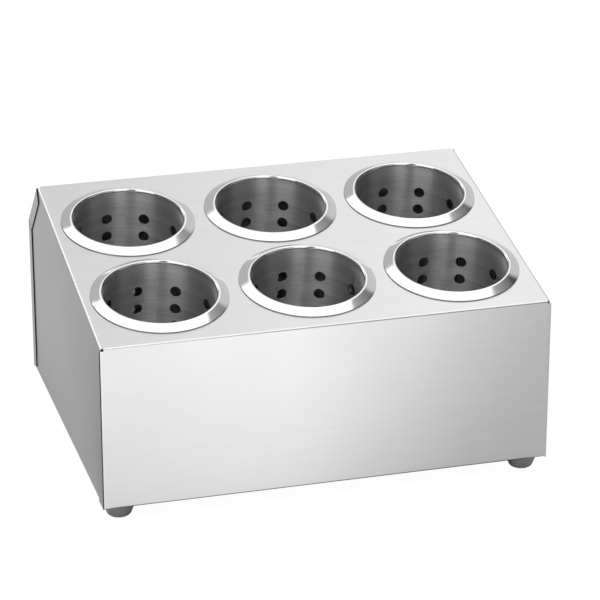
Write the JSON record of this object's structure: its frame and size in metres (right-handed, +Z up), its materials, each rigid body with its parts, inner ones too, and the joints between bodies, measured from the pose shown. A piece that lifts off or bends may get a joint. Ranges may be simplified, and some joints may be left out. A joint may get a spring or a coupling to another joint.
{
  "type": "cutlery cylinder holder",
  "caption": "Countertop cutlery holder: a folded stainless steel housing with a sloping top, on rubber feet, with perforated lift-out cylinders hung by polished collars.",
  "frame": {"origin": "on the counter at the middle of the footprint", "axes": "+X to the right as seen from the front, +Y to the rear, +Z up"},
  "size_m": [0.3922, 0.3148, 0.2077],
  "materials": {
    "housing_steel": "brushed stainless steel sheet",
    "collar_polished": "mirror polished stainless steel",
    "cylinder_steel": "stainless steel, brushed round the cylinder",
    "foot_rubber": "matt grey rubber",
    "fastener_zinc": "bright zinc plated steel"
  },
  "bodies": {
    "housing": {"housing_shell": "housing_steel", "foot_front_left": "foot_rubber", "foot_front_right": "foot_rubber", "foot_rear_left": "foot_rubber", "foot_rear_right": "foot_rubber", "foot_insert_washers": "fastener_zinc", "foot_screws": "fastener_zinc", "foot_washers": "fastener_zinc", "foot_nuts": "fastener_zinc"},
    "cylinder_front_left": {"collar_front_left": "collar_polished", "sleeve_front_left": "cylinder_steel", "base_front_left": "cylinder_steel"},
    "cylinder_front_center": {"collar_front_center": "collar_polished", "sleeve_front_center": "cylinder_steel", "base_front_center": "cylinder_steel"},
    "cylinder_front_right": {"collar_front_right": "collar_polished", "sleeve_front_right": "cylinder_steel", "base_front_right": "cylinder_steel"},
    "cylinder_rear_left": {"collar_rear_left": "collar_polished", "sleeve_rear_left": "cylinder_steel", "base_rear_left": "cylinder_steel"},
    "cylinder_rear_center": {"collar_rear_center": "collar_polished", "sleeve_rear_center": "cylinder_steel", "base_rear_center": "cylinder_steel"},
    "cylinder_rear_right": {"collar_rear_right": "collar_polished", "sleeve_rear_right": "cylinder_steel", "base_rear_right": "cylinder_steel"}
  },
  "joints": [
    {"name": "lift_front_left", "type": "slide", "parent": "housing", "child": "cylinder_front_left", "axis": [0, -0.1736, 0.9848], "range_m": [0, 0.145]},
    {"name": "lift_front_center", "type": "slide", "parent": "housing", "child": "cylinder_front_center", "axis": [0, -0.1736, 0.9848], "range_m": [0, 0.145]},
    {"name": "lift_front_right", "type": "slide", "parent": "housing", "child": "cylinder_front_right", "axis": [0, -0.1736, 0.9848], "range_m": [0, 0.145]},
    {"name": "lift_rear_left", "type": "slide", "parent": "housing", "child": "cylinder_rear_left", "axis": [0, -0.1736, 0.9848], "range_m": [0, 0.145]},
    {"name": "lift_rear_center", "type": "slide", "parent": "housing", "child": "cylinder_rear_center", "axis": [0, -0.1736, 0.9848], "range_m": [0, 0.145]},
    {"name": "lift_rear_right", "type": "slide", "parent": "housing", "child": "cylinder_rear_right", "axis": [0, -0.1736, 0.9848], "range_m": [0, 0.145]}
  ]
}
